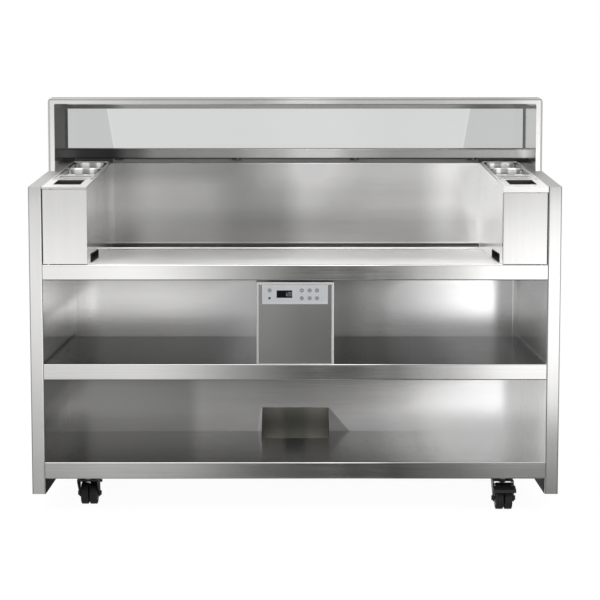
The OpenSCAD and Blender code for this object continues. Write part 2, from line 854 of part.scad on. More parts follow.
cheek();  // left_cheek
mirrored("right") cheek();  // right_cheek
deck();
mid_shelf();
bottom_shelf();
bay_back_panel();
mid_back_panel();
lower_back_panel();
rear_panel();
chassis_rails();
tower("left");  // left_tower
mirrored("right") tower("right");  // right_tower
door("left");  // left_door
mirrored("right") door("right");  // right_door
pan(0);  // left_front_pan
pan(1);  // left_rear_pan
mirrored("right") pan(0);  // right_front_pan
mirrored("right") pan(1);  // right_rear_pan
bin();  // left_bin
mirrored("right") bin();  // right_bin
bridge_frame();
glass_pane();
glass_gasket();
glass_rail();
filter(-1);  // left_filter
filter(0);  // centre_filter
filter(1);  // right_filter
filter_clips();
suction_duct();
duct_cover();
fan_housing();
fan_motor();
fan_impeller();
carbon_filter();
control_case();
control_front();
control_plate();
display_window();
indicator_lamp();
control_board();
key(left_column, key_rows[0]);  // power_key
key(key_columns[0], key_rows[0]);  // key_1
key(key_columns[1], key_rows[0]);  // key_2
key(key_columns[2], key_rows[0]);  // key_3
key(key_columns[0], key_rows[1]);  // key_4
key(key_columns[1], key_rows[1]);  // key_5
key(key_columns[2], key_rows[1]);  // key_6
earth_stud();
caster_plates();
caster_bolts();
fork(-1, 1, 0, true);  // front_left_fork
fork(1, 1, 180, true);  // front_right_fork
fork(-1, -1, 0, false);  // rear_left_fork
fork(1, -1, 0, false);  // rear_right_fork
wheels(-1, 1, 0);  // front_left_wheels
wheels(1, 1, 180);  // front_right_wheels
wheels(-1, -1, 0);  // rear_left_wheels
wheels(1, -1, 0);  // rear_right_wheels
pedal(-1, 1, 0);  // front_left_pedal
pedal(1, 1, 180);  // front_right_pedal
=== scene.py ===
"""Looks of the mobile serving counter: finishes, small hardware, floor, light and camera."""
import math

import bmesh
import bpy
from mathutils import Matrix, Vector


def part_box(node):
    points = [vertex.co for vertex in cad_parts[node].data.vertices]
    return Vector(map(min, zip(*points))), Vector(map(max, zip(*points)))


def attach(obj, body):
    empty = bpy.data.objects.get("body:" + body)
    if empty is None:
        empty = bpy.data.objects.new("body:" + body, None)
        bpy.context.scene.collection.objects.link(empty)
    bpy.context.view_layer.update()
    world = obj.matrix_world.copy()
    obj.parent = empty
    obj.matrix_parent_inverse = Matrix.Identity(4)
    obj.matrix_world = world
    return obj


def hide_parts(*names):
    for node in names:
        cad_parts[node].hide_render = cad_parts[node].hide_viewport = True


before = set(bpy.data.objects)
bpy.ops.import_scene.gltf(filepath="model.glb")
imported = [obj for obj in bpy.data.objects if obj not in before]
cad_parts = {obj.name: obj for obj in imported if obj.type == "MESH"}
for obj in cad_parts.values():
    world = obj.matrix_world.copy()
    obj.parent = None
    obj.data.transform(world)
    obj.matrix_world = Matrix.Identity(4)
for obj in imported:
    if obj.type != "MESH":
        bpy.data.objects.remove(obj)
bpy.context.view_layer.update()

SCENE = bpy.context.scene
MM = 0.001
X, Y = Vector((1, 0, 0)), Vector((0, 1, 0))

# ---------- shader graphs ----------


class Graph:
    """Builds one node tree. The shorthand methods below call() return output sockets."""

    def __init__(self, tree):
        self.tree = tree
        tree.nodes.clear()

    def node(self, kind, **settings):
        made = self.tree.nodes.new(kind)
        for key, value in settings.items():
            setattr(made, key, value)
        return made

    def feed(self, socket, value):
        if isinstance(value, bpy.types.NodeSocket):
            self.tree.links.new(value, socket)
        elif value is not None:
            socket.default_value = value

    def call(self, kind, inputs, output=0, **settings):
        made = self.node(kind, **settings)
        for key, value in inputs.items():
            self.feed(made.inputs[key], value)
        return made.outputs[output] if made.outputs else made

    def math(self, operation, a, b=None, c=None):
        return self.call("ShaderNodeMath", {0: a, 1: b, 2: c}, operation=operation)

    def vector(self, operation, a, b=None, output=0):
        return self.call("ShaderNodeVectorMath", {0: a, 1: b}, output, operation=operation)

    def step(self, value, low, high, out_low=0.0, out_high=1.0):
        """Smooth step of value from low to high."""
        return self.call("ShaderNodeMapRange", {"Value": value, "From Min": low, "From Max": high,
                         "To Min": out_low, "To Max": out_high}, interpolation_type="SMOOTHSTEP")

    def mix(self, factor, a, b):
        return self.call("ShaderNodeMix", {0: factor, "A": a, "B": b}, data_type="FLOAT")

    def mix_vector(self, factor, a, b):
        return self.call("ShaderNodeMix", {0: factor, 4: a, 5: b}, 1, data_type="VECTOR")

    def mix_color(self, factor, a, b):
        return self.call("ShaderNodeMix", {0: factor, 6: a, 7: b}, 2, data_type="RGBA")

    def split(self, vector):
        made = self.node("ShaderNodeSeparateXYZ")
        self.feed(made.inputs[0], vector)
        return made.outputs

    def scaled(self, vector, scale, offset=(0, 0, 0)):
        return self.call("ShaderNodeMapping", {"Vector": vector, "Scale": scale, "Location": offset})

    def noise(self, vector, scale=1.0, detail=2.0, rough=0.5):
        return self.call("ShaderNodeTexNoise", {"Vector": vector, "Scale": scale, "Detail": detail,
                         "Roughness": rough})

    def ramp(self, value, stops):
        """Grey ramp through (position, level) stops, smoothly."""
        made = self.node("ShaderNodeValToRGB")
        made.color_ramp.interpolation = "EASE"
        elements = made.color_ramp.elements
        while len(elements) < len(stops):
            elements.new(0.5)
        for element, (position, level) in zip(elements, stops):
            element.position = position
            element.color = (level, level, level, 1)
        self.feed(made.inputs[0], value)
        return made.outputs[0]


def rgb(*values):
    return (*values, 1.0) if len(values) == 3 else (values[0],) * 3 + (1.0,)


def new_material(name):
    material = bpy.data.materials.new(name)
    material.use_nodes = True
    return material, Graph(material.node_tree)


def principled(g, inputs):
    """Principled surface wired to the material output."""
    shader = g.call("ShaderNodeBsdfPrincipled", inputs)
    g.call("ShaderNodeOutputMaterial", {"Surface": shader})


def object_normal(g):
    return g.call("ShaderNodeVectorTransform", {0: g.node("ShaderNodeNewGeometry").outputs["True Normal"]},
                  vector_type="NORMAL", convert_from="WORLD", convert_to="OBJECT")


FACE_LOW, FACE_HIGH = 0.55, 0.75            # cosines between which a face starts to count as facing


def facing(g, normal, axis):
    """1 where the surface looks along the object-space axis, 0 elsewhere."""
    return g.step(g.vector("DOT_PRODUCT", normal, tuple(axis), 1), FACE_LOW, FACE_HIGH)


AXES = {"x": (1, 0, 0), "y": (0, 1, 0), "z": (0, 0, 1)}
ACROSS = {"x": "y", "y": "x", "z": "x"}      # grain of the faces that lie square to the main one
FRONT, UP, TO_RIGHT, TO_LEFT = (0, -1, 0), (0, 0, 1), (1, 0, 0), (-1, 0, 0)


def grain_field(g, place, axis, along, across, detail):
    """Noise drawn out along one axis, in object space."""
    scale = [across] * 3
    scale["xyz".index(axis)] = along
    return g.noise(g.scaled(place, tuple(scale)), 1.0, detail, 0.6)


def brushed(name, grain="x", tint=(0.77, 0.765, 0.755), rough=0.15, aniso=0.25, top=None,
            tones=(), shade=None, lighten_by_matt=None, streak=0.07, blotch=0.06, relief=1.0, seed=0.0):
    """Brushed stainless steel. top: (roughness, anisotropy) for level faces.
    (facing, drop in metallic): the faces that look that way turn partly matt, take more diffuse lamp light
    and read lighter; a stand-in for the studio's light, not a finish of the steel.
    tones: (axis, (from, to), ((share, factor), ...), facing), shades that stand in for the studio's
    reflections, so they hold for one light and one view and are no property of the steel.
    shade: a function that gives one more factor of painted light and shade."""
    material, g = new_material(name)
    place = g.node("ShaderNodeTexCoord").outputs["Object"]
    normal = object_normal(g)
    lined = g.math("ABSOLUTE", g.vector("DOT_PRODUCT", normal, AXES[grain], 1))
    on_end = g.step(lined, FACE_LOW, FACE_HIGH)
    other = ACROSS[grain]
    fine = g.mix(on_end, grain_field(g, place, grain, 5, 420, 3), grain_field(g, place, other, 5, 420, 3))
    broad = g.mix(on_end, grain_field(g, place, grain, 1.1, 60, 2), grain_field(g, place, other, 1.1, 60, 2))
    cloud = g.noise(g.scaled(place, (1, 1, 1), (seed, seed * 0.7, -seed)), 5.5, 3.0, 0.55)

    def wave(field, strength):
        return g.math("MULTIPLY_ADD", g.math("SUBTRACT", field, 0.5), strength, 1.0)

    level = g.math("MULTIPLY", g.math("MULTIPLY", wave(fine, streak), wave(broad, streak)),
                   wave(cloud, 2 * blotch))
    # painted light and shade along the panel, from the tones and the shade function
    for axis, limits, stops, look in tones:
        share = g.call("ShaderNodeMapRange", {"Value": g.split(place)["xyz".index(axis)],
                       "From Min": limits[0], "From Max": limits[1]})
        factor = g.math("MULTIPLY", g.ramp(share, [(at, value / 2) for at, value in stops]), 2.0)
        if look:
            factor = g.mix(facing(g, normal, look), 1.0, factor)
        level = g.math("MULTIPLY", level, factor)
    if shade:
        level = g.math("MULTIPLY", level, shade(g, place))
    roughness = g.math("MULTIPLY_ADD", g.math("SUBTRACT", fine, 0.5), 0.06,
                       g.math("MULTIPLY_ADD", g.math("SUBTRACT", cloud, 0.5), 0.05, rough))
    anisotropy = aniso
    if top:
        upward = facing(g, normal, UP)
        roughness = g.math("ADD", roughness, g.mix(upward, 0.0, top[0] - rough))
        anisotropy = g.mix(upward, aniso, top[1])
    colour = g.vector("SCALE", tuple(tint))
    g.feed(colour.node.inputs["Scale"], level)
    direction = g.mix_vector(on_end, AXES[grain], AXES[other])
    tangent = g.call("ShaderNodeVectorTransform", {0: g.vector("CROSS_PRODUCT", normal, direction)},
                     vector_type="VECTOR", convert_from="OBJECT", convert_to="WORLD")
    height = g.math("MULTIPLY_ADD", cloud, 6.0, fine)
    bump = g.call("ShaderNodeBump", {"Strength": 0.10 * relief, "Distance": 0.00012, "Height": height})
    edge = g.math("MINIMUM", level, 1.0)
    tinted = g.call("ShaderNodeCombineColor", {0: edge, 1: edge, 2: edge})
    # painted light: faces that look the given way lose part of their metallic look, so that side reads
    # lighter under the lamps
    metallic = g.mix(facing(g, normal, lighten_by_matt[0]), 1.0, 1.0 - lighten_by_matt[1]) if lighten_by_matt else 1.0
    principled(g, {"Base Color": colour, "Metallic": metallic, "Roughness": roughness,
               "Specular Tint": tinted, "Anisotropic": anisotropy, "Tangent": tangent, "Normal": bump})
    return material


def cast_or_plated(name, tint, rough, scale, spread=0.35, metallic=1.0):
    """Plated or galvanised metal with a crystalline bloom."""
    material, g = new_material(name)
    place = g.node("ShaderNodeTexCoord").outputs["Object"]
    cells = g.call("ShaderNodeTexVoronoi", {"Vector": place, "Scale": scale}, 1)
    bloom = g.split(cells)[0]
    fine = g.noise(place, scale * 6, 3)
    level = g.math("ADD", g.math("MULTIPLY", bloom, spread), g.math("MULTIPLY", fine, 0.2))
    colour = g.mix_color(level, rgb(*[c * 0.72 for c in tint]), rgb(*tint))
    bump = g.call("ShaderNodeBump", {"Strength": 0.15, "Distance": 0.0002, "Height": fine})
    principled(g, {"Base Color": colour, "Metallic": metallic,
               "Roughness": g.math("MULTIPLY_ADD", level, 0.2, rough), "Normal": bump})
    return material


def moulded(name, tint, rough=0.45, grain=900, wear=0.03, coat=0.0):
    """Moulded plastic, rubber or enamel: fine leather-like pebble and paler rubbed patches."""
    material, g = new_material(name)
    place = g.node("ShaderNodeTexCoord").outputs["Object"]
    pebble = g.noise(place, grain, 3, 0.6)
    patches = g.noise(place, 28, 4, 0.65)
    worn = g.step(patches, 0.5, 0.75)
    colour = g.mix_color(worn, rgb(*tint), rgb(*[c + wear for c in tint]))
    bump = g.call("ShaderNodeBump", {"Strength": 0.25, "Distance": 0.0002, "Height": pebble})
    principled(g, {"Base Color": colour, "Roughness": g.math("MULTIPLY_ADD", patches, 0.15, rough - 0.07),
               "Coat Weight": coat, "Normal": bump})
    return material


def glass_material():
    """Toughened glass: grey body tint, darker towards both ends, faint smears, clear reflections."""
    material, g = new_material("screen_glass_clear")
    place = g.node("ShaderNodeTexCoord").outputs["Object"]
    across, _, up = g.split(place)
    # the ends' tint starts on a slightly leaning line
    shift, middle, lean, start = 0.022, 1.09, 0.17, 0.567
    aside = g.math("ABSOLUTE", g.math("ADD", across, shift))
    reach = g.math("MULTIPLY_ADD", g.math("SUBTRACT", up, middle), -lean, aside)
    end = g.step(reach, start, start + 0.003)
    line = g.math("MULTIPLY", g.step(reach, start - 0.004, start - 0.0015),
                  g.step(reach, start + 0.0005, start - 0.002))
    smear = g.noise(g.scaled(place, (4, 4, 14)), 1.0, 4, 0.6)
    tint = g.math("ADD", g.mix(end, 0.825, 0.745), g.math("MULTIPLY", line, 0.02))
    tint = g.math("MULTIPLY_ADD", g.math("SUBTRACT", smear, 0.5), 0.012, tint)
    colour = g.call("ShaderNodeCombineColor", {0: g.math("MULTIPLY", tint, 0.992), 1: tint,
                    2: g.math("MULTIPLY", tint, 0.996)})
    clear = g.call("ShaderNodeBsdfTransparent", {"Color": colour})
    shine = g.call("ShaderNodeBsdfGlossy", {"Color": rgb(0.9), "Roughness": 0.03})
    bend = g.call("ShaderNodeFresnel", {"IOR": 1.45})
    surface = g.call("ShaderNodeMixShader", {0: g.math("MULTIPLY", bend, 0.5), 1: clear, 2: shine})
    g.call("ShaderNodeOutputMaterial", {"Surface": surface})
    return material


def display_material():
    """Smoked display window with a faint haze."""
    material, g = new_material("display_smoked")
    place = g.node("ShaderNodeTexCoord").outputs["Object"]
    haze = g.noise(place, 180, 3)
    colour = g.mix_color(haze, rgb(0.002, 0.002, 0.003), rgb(0.008, 0.009, 0.011))
    principled(g, {"Base Color": colour, "Roughness": g.math("MULTIPLY_ADD", haze, 0.08, 0.08),
               "Specular IOR Level": 0.06})
    return material


def glowing(name, tint, strength):
    """Lit segment or lamp with a slightly uneven glow."""
    material, g = new_material(name)
    place = g.node("ShaderNodeTexCoord").outputs["Object"]
    uneven = g.math("MULTIPLY_ADD", g.noise(place, 700, 2), 0.5 * strength, 0.75 * strength)
    principled(g, {"Base Color": rgb(*[c * 0.3 for c in tint]), "Emission Color": rgb(*tint),
               "Emission Strength": uneven, "Roughness": 0.3})
    return material


STEEL = (0.77, 0.765, 0.755)
WARM = (0.77, 0.75, 0.70)
# painted reflection: a warmer tint for the left tower's steel, for the warm light it reflects
PALE_WARM = (0.77, 0.76, 0.735)
WIDE = (-0.75, 0.75)                # span of the shades that run across the counter


def across(*stops, look=None):
    return ("x", WIDE, stops, look)


def upward(low, high, *stops, look=None):
    return ("z", (low, high), stops, look)


def shelf_face(low, turn, high):
    """Painted light and shade on a folded front face: its left part, where the right light sets in, and the
    right end.
    """
    return across((0.04, low), (0.2, 1.0), (0.38, 0.95), (0.5, 1.0), (0.57, 1.25), (0.63, 1.1),
                  (0.7, turn * 1.2), (0.8, turn), (0.9, high), (1.0, high), look=FRONT)


def cover_shadow(g, place):
    """Painted shadow to the right of the duct cover and painted light at its left."""
    cover_top, cover_side, shadow_spread, light_spread = 0.221, 0.104, 0.88, 0.16
    x, _, z = g.split(place)
    reach = g.math("MAXIMUM", g.math("SUBTRACT", cover_top, z), 0.0)
    edge = g.math("SUBTRACT", x, g.math("MULTIPLY_ADD", reach, shadow_spread, cover_side))
    dark = g.math("MULTIPLY", g.step(edge, 0.004, -0.004), g.step(x, 0.1, 0.105))
    side = g.math("ADD", x, g.math("MULTIPLY_ADD", reach, light_spread, cover_side))
    lit = g.math("MULTIPLY", g.step(side, -0.004, 0.001), g.step(x, -0.1, -0.104))
    lit = g.math("MULTIPLY", lit, g.step(reach, 0.0, 0.004))
    dark = g.math("MULTIPLY", dark, g.step(reach, 0.0, 0.004))
    return g.mix(lit, g.mix(dark, 1.0, 0.55), 2.2)


def wall_glow(g, place):
    """Painted light and shade on the bay's back wall: painted shade on the upper left part, a painted glow at
    its top, painted highlights as paler strips at both ends.
    """
    x, _, z = g.split(place)
    corner = g.math("MULTIPLY", g.step(z, 0.89, 0.96), g.step(x, -0.08, -0.3))
    spot = g.vector("DISTANCE", place, (0.03, 0.3, 0.985), 1)
    # painted highlight along both folded ends of the wall
    fold = g.step(g.math("ABSOLUTE", x), 0.572, 0.577, 1.0, 1.14)
    glow = g.math("MULTIPLY", g.mix(corner, 1.0, 0.66), g.step(spot, 0.22, 0.02, 1.0, 1.45))
    return g.math("MULTIPLY", glow, fold)


# bands of painted highlight and shade on the pan walls that face the operator, standing in for the studio's
# reflections in the pans' rounded corners, left tower; mirrored for the right one
PAN_HIGHLIGHT_BANDS = ((0.033, 0.6), (0.045, 0.4), (0.052, 1.5), (0.06, 1.5), (0.066, 0.45), (0.077, 0.5),
             (0.083, 1.5), (0.09, 0.7))

# Painted light and shade: each tones list and shade function below paints the studio's light and shade onto a
# panel for one view, and the left and right cheek and tower steels are lit and shaded copies of one steel
MATERIALS = {
    "cheek_left": brushed("cheek_steel_left", "z", STEEL, 0.15, top=(0.42, 0.0), seed=1.0, tones=[
        upward(0.146, 0.7, (0.1, 0.8), (0.22, 0.58), (0.31, 0.46), (0.5, 0.46), (0.54, 1.3), (0.67, 1.2),
               (0.76, 0.75), (1.0, 0.68), look=TO_RIGHT),
        across((0.0, 0.72), (1.0, 0.72), look=UP),
        upward(0.054, 1.0, (0.0, 0.98), (0.5, 0.93), (0.85, 0.92), (0.94, 0.8), look=FRONT)]),
    "cheek_right": brushed("cheek_steel_right", "z", STEEL, 0.15, top=(0.42, 0.0), seed=2.0,
                           lighten_by_matt=(TO_LEFT, 0.5), tones=[
        upward(0.146, 0.7, (0.0, 1.3), (0.49, 1.3), (0.53, 0.57), (0.69, 0.66), (0.78, 0.6), (1.0, 0.56),
               look=TO_LEFT),
        across((0.0, 0.65), (1.0, 0.65), look=UP),
        upward(0.054, 1.0, (0.0, 0.46), (0.15, 0.5), (0.3, 0.7), (0.85, 0.68), (0.94, 0.57), look=FRONT)]),
    "deck": brushed("deck_steel", "x", STEEL, 0.10, top=(0.4, 0.7), seed=3.0, tones=[
        shelf_face(0.88, 0.57, 0.64),
        across((0.15, 1.0), (0.25, 0.85), (0.4, 0.92), (0.55, 1.0), (0.7, 1.0), (0.8, 1.05), (0.88, 1.2),
               look=UP)]),
    "mid_shelf": brushed("mid_shelf_steel", "x", STEEL, 0.10, top=(0.16, 0.5), streak=0.14, seed=4.0, tones=[
        shelf_face(0.92, 0.5, 0.59),
        across((0.05, 0.38), (0.33, 0.36), (0.42, 0.6), (0.5, 0.62), (0.56, 0.42), (0.61, 0.33), (0.67, 0.31),
               (0.75, 0.4), (0.85, 0.58), (0.92, 0.6), (0.97, 0.45), look=UP)]),
    "low_shelf": brushed("low_shelf_steel", "x", STEEL, 0.10, top=(0.16, 0.5), streak=0.14, seed=5.0, tones=[
        shelf_face(0.88, 0.44, 0.48),
        across((0.0, 0.76), (0.3, 0.7), (0.42, 0.58), (0.5, 0.56), (0.56, 0.52), (0.64, 0.62), (0.74, 0.88),
               (0.82, 1.3), (0.95, 1.6), look=UP)]),
    "bay_back": brushed("bay_back_steel", "x", STEEL, 0.22, 0.5, blotch=0.1, relief=0.006, seed=6.3,
                        shade=wall_glow, tones=[
        across((0.13, 0.5), (0.2, 0.8), (0.3, 0.76), (0.38, 0.58), (0.46, 0.63), (0.53, 0.93), (0.62, 0.92),
               (0.75, 0.8), (0.83, 1.2), (0.9, 1.95)),
        upward(0.7, 0.98, (0.1, 1.0), (0.12, 0.63), (0.3, 0.62), (0.6, 0.92), (0.95, 1.1))]),
    "mid_back": brushed("mid_back_steel", "x", STEEL, 0.17, 0.85, blotch=0.04, relief=0.006, seed=7.0,
                        tones=[
        across((0.04, 0.55), (0.1, 0.85), (0.3, 1.0), (0.42, 1.3), (0.55, 0.65), (0.6, 0.6), (0.67, 0.85),
               (0.76, 1.3), (0.85, 1.4), (0.95, 1.45), (0.98, 0.9)),
        upward(0.43, 0.7, (0.0, 1.3), (0.45, 1.3), (0.9, 0.6))]),
    "low_back": brushed("low_back_steel", "x", STEEL, 0.2, 0.85, blotch=0.04, relief=0.006, seed=8.0,
                        shade=cover_shadow, tones=[
        across((0.0, 0.38), (0.27, 0.38), (0.31, 0.56), (0.42, 0.66), (0.6, 0.84), (0.7, 0.94), (0.82, 1.2),
               (0.95, 1.6)),
        upward(0.146, 0.4, (0.0, 1.7), (0.45, 1.15), (0.9, 0.55))]),
    "tower_left": brushed("tower_steel_left", "y", PALE_WARM, 0.2, top=(0.45, 0.0), relief=0.15,
                          streak=0.03, seed=9.0, tones=[
        upward(0.71, 0.98, (0.0, 1.3), (0.3, 1.3), (0.45, 1.0), (1.0, 0.82), look=TO_RIGHT)]),
    "tower_right": brushed("tower_steel_right", "y", STEEL, 0.2, top=(0.45, 0.0), relief=0.15,
                           streak=0.03, seed=10.0, lighten_by_matt=(TO_LEFT, 0.6), tones=[
        upward(0.71, 0.98, (0.0, 1.3), (1.0, 1.3), look=TO_LEFT)]),
    "door": brushed("door_steel", "z", STEEL, 0.13, seed=11.0, tones=[
        across((0.2, 0.95), (0.8, 0.62), look=FRONT)]),
    "bridge": brushed("bridge_steel", "x", STEEL, 0.16, seed=12.0, tones=[
        across((0.0, 1.0), (0.25, 0.8), (0.42, 0.75), (0.52, 1.05), (0.62, 0.8), (0.8, 0.7), (0.92, 0.66),
               (1.0, 0.85), look=FRONT),
        upward(1.165, 1.185, (0.0, 1.3), (0.4, 1.3), (0.8, 0.39), (1.0, 0.31)),
        upward(0.98, 1.16, (0.0, 0.95), (0.12, 0.95), (0.3, 1.3), look=TO_LEFT)]),
    "rail": brushed("rail_steel", "x", STEEL, 0.16, seed=13.0, tones=[
        across((0.0, 0.08), (0.05, 0.05), (0.11, 0.04), (0.155, 0.16), (0.21, 0.4), (0.35, 0.5), (0.45, 0.8),
               (0.52, 1.1), (0.57, 1.1), (0.63, 0.74), (0.72, 0.5), (0.9, 0.47), (0.95, 0.47), (1.0, 1.2))]),
    "trim": brushed("trim_steel", "x", STEEL, 0.2, seed=13.5, tones=[
        across((0.0, 0.07), (0.1, 0.18), (0.15, 0.48), (0.5, 0.62), (0.7, 0.5), (0.8, 0.4), (0.9, 0.14),
               (1.0, 0.25))]),
    "control": brushed("control_steel", "z", STEEL, 0.2, seed=14.0),
    "control_face": brushed("control_face_steel", "z", STEEL, 0.2, streak=0.03, seed=14.5, tones=[
        across((0.42, 0.5), (0.58, 0.35)), upward(0.43, 0.66, (0.0, 0.8), (0.9, 0.97))]),
    "cover": brushed("cover_steel", "x", WARM, 0.22, streak=0.03, seed=15.0,
                     tones=[across((0.4, 1.3), (0.6, 1.3))]),
    # painted shade: the rear panel's faces that look at the operator are near black
    "rear": brushed("rear_steel", "z", STEEL, 0.2, 0.5, seed=16.0,
                    tones=[across((0.0, 0.06), (1.0, 0.06), look=FRONT)]),
    # painted highlight: a lighter steel with shades, for the bead's bright line along the step
    "bead": brushed("bead_steel", "x", (0.9, 0.9, 0.89), 0.2, streak=0.03, seed=16.5,
                    tones=[across((0.15, 0.95), (0.35, 0.82), (0.5, 1.05), (0.9, 1.0))]),
    "pan": brushed("pan_steel_drawn", "y", (0.84, 0.84, 0.83), 0.1, relief=0.3, blotch=0.03, seed=17.0,
                   tones=[across(*PAN_HIGHLIGHT_BANDS, *[(1 - at, level) for at, level in PAN_HIGHLIGHT_BANDS[::-1]],
                                 look=FRONT)]),
    "plate": brushed("control_film", "x", (0.80, 0.81, 0.84), 0.45, streak=0.02, blotch=0.02),
    "galvanised": cast_or_plated("galvanised_sheet", (0.66, 0.68, 0.7), 0.32, 90),
    "zinc": cast_or_plated("zinc_plated", (0.74, 0.75, 0.76), 0.22, 300, 0.2),
    "brass": cast_or_plated("brass_turned", (0.78, 0.6, 0.3), 0.22, 400, 0.15),
    "fork": moulded("fork_black", (0.009, 0.009, 0.0095), 0.42, 700, 0.012),
    "tread": moulded("tyre_rubber", (0.009, 0.009, 0.009), 0.66, 1200, 0.016),
    "hub": moulded("wheel_hub_grey", (0.06, 0.06, 0.062), 0.42, 900, 0.03),
    # dark clips; the same dark colour is painted shade on the stop step's strip and the corner plates
    "clip": moulded("clip_dark_and_shade_plates", (0.03, 0.03, 0.032), 0.45, 1100, 0.02),
    "motor": moulded("motor_enamel", (0.03, 0.032, 0.036), 0.35, 400, 0.02, 0.3),
    "carbon": moulded("carbon_granules", (0.012, 0.012, 0.012), 0.8, 380, 0.03),
    "board": moulded("board_lacquer", (0.01, 0.09, 0.035), 0.35, 500, 0.03, 0.4),
    "key": moulded("key_grey", (0.15, 0.155, 0.17), 0.5, 1400, 0.03),
    "print_pale": moulded("print_pale", (0.4, 0.41, 0.44), 0.5, 1500, 0.02),
    "collar": brushed("collar_steel", "x", (0.2, 0.2, 0.19), 0.3, seed=18.0),
    "bin": brushed("bin_steel", "z", (0.5, 0.5, 0.48), 0.3, seed=17.5),
    # black of the cable trays; the same black is painted shade on the cheeks' feet
    "black": moulded("black_tray_and_foot_shade", (0.004, 0.004, 0.004), 0.7, 900, 0.004),
    "plate_edge": moulded("plate_edge_pale", (0.5, 0.51, 0.54), 0.5, 1500, 0.02),
    # painted shade: the filter baffles sit in the shadow under the rail and get a dark matt colour for it
    "filter": moulded("filter_baffle_dark_as_shade", (0.13, 0.13, 0.125), 0.75, 160, 0.03),
    "duct": cast_or_plated("duct_sheet_dull", (0.45, 0.45, 0.44), 0.55, 90, metallic=0.6),
    "glass": glass_material(),
    "display": display_material(),
    "digit": glowing("digit_pale", (0.75, 0.85, 0.95), 0.12),
    "lamp": glowing("lamp_dim", (0.16, 0.14, 0.17), 0.1),
}

NODE_FINISH = {
    "left_cheek": "cheek_left", "right_cheek": "cheek_right", "deck": "deck",
    "mid_shelf": "mid_shelf", "bottom_shelf": "low_shelf", "bay_back_panel": "bay_back",
    "mid_back_panel": "mid_back", "lower_back_panel": "low_back", "rear_panel": "rear",
    "chassis_rails": "galvanised", "left_tower": "tower_left", "right_tower": "tower_right",
    "left_door": "door", "right_door": "door", "left_bin": "bin", "right_bin": "bin",
    "bridge_frame": "bridge", "glass_pane": "glass", "glass_gasket": "trim", "glass_rail": "rail",
    "left_filter": "filter", "centre_filter": "filter", "right_filter": "filter",
    "filter_clips": "clip", "suction_duct": "duct", "duct_cover": "cover",
    "fan_housing": "galvanised", "fan_motor": "motor", "fan_impeller": "galvanised",
    "carbon_filter": "carbon", "control_case": "control", "control_front": "control_face",
    "control_plate": "plate", "display_window": "display", "indicator_lamp": "lamp",
    "control_board": "board", "earth_stud": "brass", "caster_plates": "zinc", "caster_bolts": "zinc",
}


def finish_node(name, finish):
    """Gives one CAD node its finish."""
    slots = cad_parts[name].material_slots
    for held in slots:
        held.material = MATERIALS[finish]
    if not slots:
        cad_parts[name].data.materials.append(MATERIALS[finish])


for node_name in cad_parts:
    if node_name.startswith(("key_", "power_")):
        finish_node(node_name, "key")
    elif node_name.endswith(("_fork", "_pedal")):
        finish_node(node_name, "fork")
    elif node_name.endswith("_wheels"):
        finish_node(node_name, "tread")
    elif node_name.endswith("_pan"):
        finish_node(node_name, "pan")
    else:
        finish_node(node_name, NODE_FINISH[node_name])

# ---------- geometry of the small parts ----------

FRONT_Y = -0.36                     # the operator's plane
TOWER_Z = 0.929                     # height of the tower tops at that plane
SLOPE = math.radians(4.5)
TOWER_MID = 0.6485
INNER_X, BAY_X = 0.712, 0.585       # inner faces of the cheeks, inner walls of the towers
DECK_Z, MID_Z = 0.710, 0.428         # tops of the deck and of the middle shelf
REAR_Y = 0.354                      # outer face of the rear panel


def mesh_object(name, verts, faces, material, body="frame", smooth=35):
    """Mesh in the shared frame, outward normals, smooth up to the given angle, riding on a body."""
    mesh = bpy.data.meshes.new(name)
    mesh.from_pydata([tuple(v) for v in verts], [], faces)
    bm = bmesh.new()
    bm.from_mesh(mesh)
    bmesh.ops.recalc_face_normals(bm, faces=bm.faces)
    bm.to_mesh(mesh)
    bm.free()
    mesh.polygons.foreach_set("use_smooth", [True] * len(mesh.polygons))
    mesh.set_sharp_from_angle(angle=math.radians(smooth))
    mesh.materials.append(MATERIALS[material])
    made = bpy.data.objects.new(name, mesh)
    SCENE.collection.objects.link(made)
    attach(made, body)
    return made


def joined(name, parts, material, body="frame", smooth=35):
    """One object from several (verts, faces) solids."""
    verts, faces = [], []
    for some, loops in parts:
        faces += [[index + len(verts) for index in loop] for loop in loops]
        verts += list(some)
    return mesh_object(name, verts, faces, material, body, smooth)


def loft(rings, closed=False):
    """Skin over rings of equal length; capped at both ends, or closed on itself."""
    count = len(rings[0])
    verts = [point for ring in rings for point in ring]
    faces = []
    for row in range(len(rings) if closed else len(rings) - 1):
        low, high = row * count, (row + 1) % len(rings) * count
        for i in range(count):
            j = (i + 1) % count
            faces.append([low + i, low + j, high + j, high + i])
    if not closed:
        faces.append(list(range(count)))
        faces.append([(len(rings) - 1) * count + i for i in range(count)])
    return verts, faces


def corner_ring(half_w, half_l, radius, height, steps=6):
    """Rounded rectangle in the local XY plane."""
    ring = []
    for quarter, (sx, sy) in enumerate(((1, 1), (-1, 1), (-1, -1), (1, -1))):
        for step in range(steps + 1):
            angle = math.radians(90 * (quarter + step / steps))
            ring.append(Vector((sx * (half_w - radius) + radius * math.cos(angle),
                                sy * (half_l - radius) + radius * math.sin(angle), height)))
    return ring


